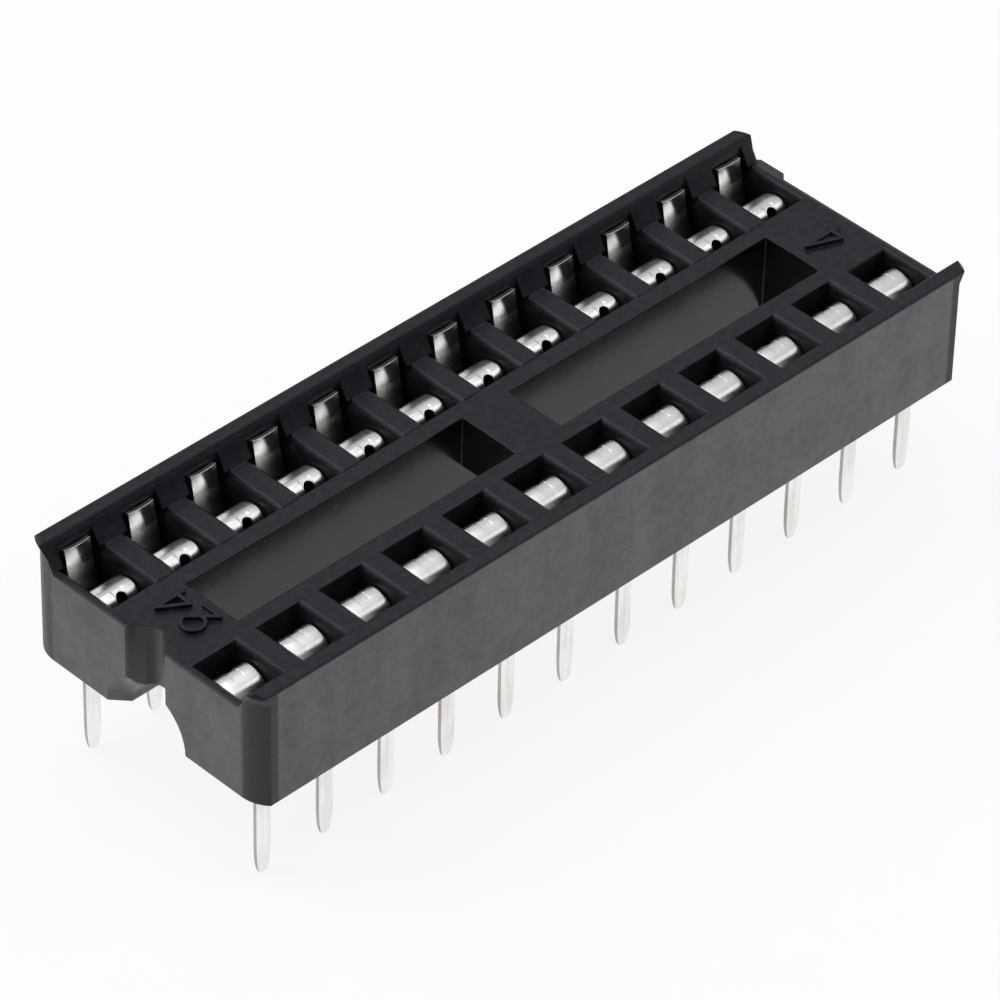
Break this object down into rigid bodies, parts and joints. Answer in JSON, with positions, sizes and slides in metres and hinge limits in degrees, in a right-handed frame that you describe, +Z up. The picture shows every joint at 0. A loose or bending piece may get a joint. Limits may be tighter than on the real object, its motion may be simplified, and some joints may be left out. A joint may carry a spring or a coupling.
{
  "type": "ic socket",
  "caption": "Dual in-line IC socket with an open frame, two rows of leaf contacts and straight solder tails.",
  "frame": {"origin": "middle of the housing's underside, which is the plane of the board it is soldered to", "axes": "+X along the rows, away from the notched pin 1 end; +Y across the rows, away from pin 1's row; +Z up, away from the board"},
  "size_m": [0.0306, 0.0102, 0.0083],
  "materials": {
    "housing_plastic": "matte",
    "contact_tin": "bright tin plate"
  },
  "bodies": {
    "root": {"housing": "housing_plastic", "contact_01": "contact_tin", "contact_02": "contact_tin", "contact_03": "contact_tin", "contact_04": "contact_tin", "contact_05": "contact_tin", "contact_06": "contact_tin", "contact_07": "contact_tin", "contact_08": "contact_tin", "contact_09": "contact_tin", "contact_10": "contact_tin", "contact_11": "contact_tin", "contact_12": "contact_tin", "contact_13": "contact_tin", "contact_14": "contact_tin", "contact_15": "contact_tin", "contact_16": "contact_tin", "contact_17": "contact_tin", "contact_18": "contact_tin", "contact_19": "contact_tin", "contact_20": "contact_tin", "contact_21": "contact_tin", "contact_22": "contact_tin", "contact_23": "contact_tin", "contact_24": "contact_tin"}
  },
  "joints": []
}
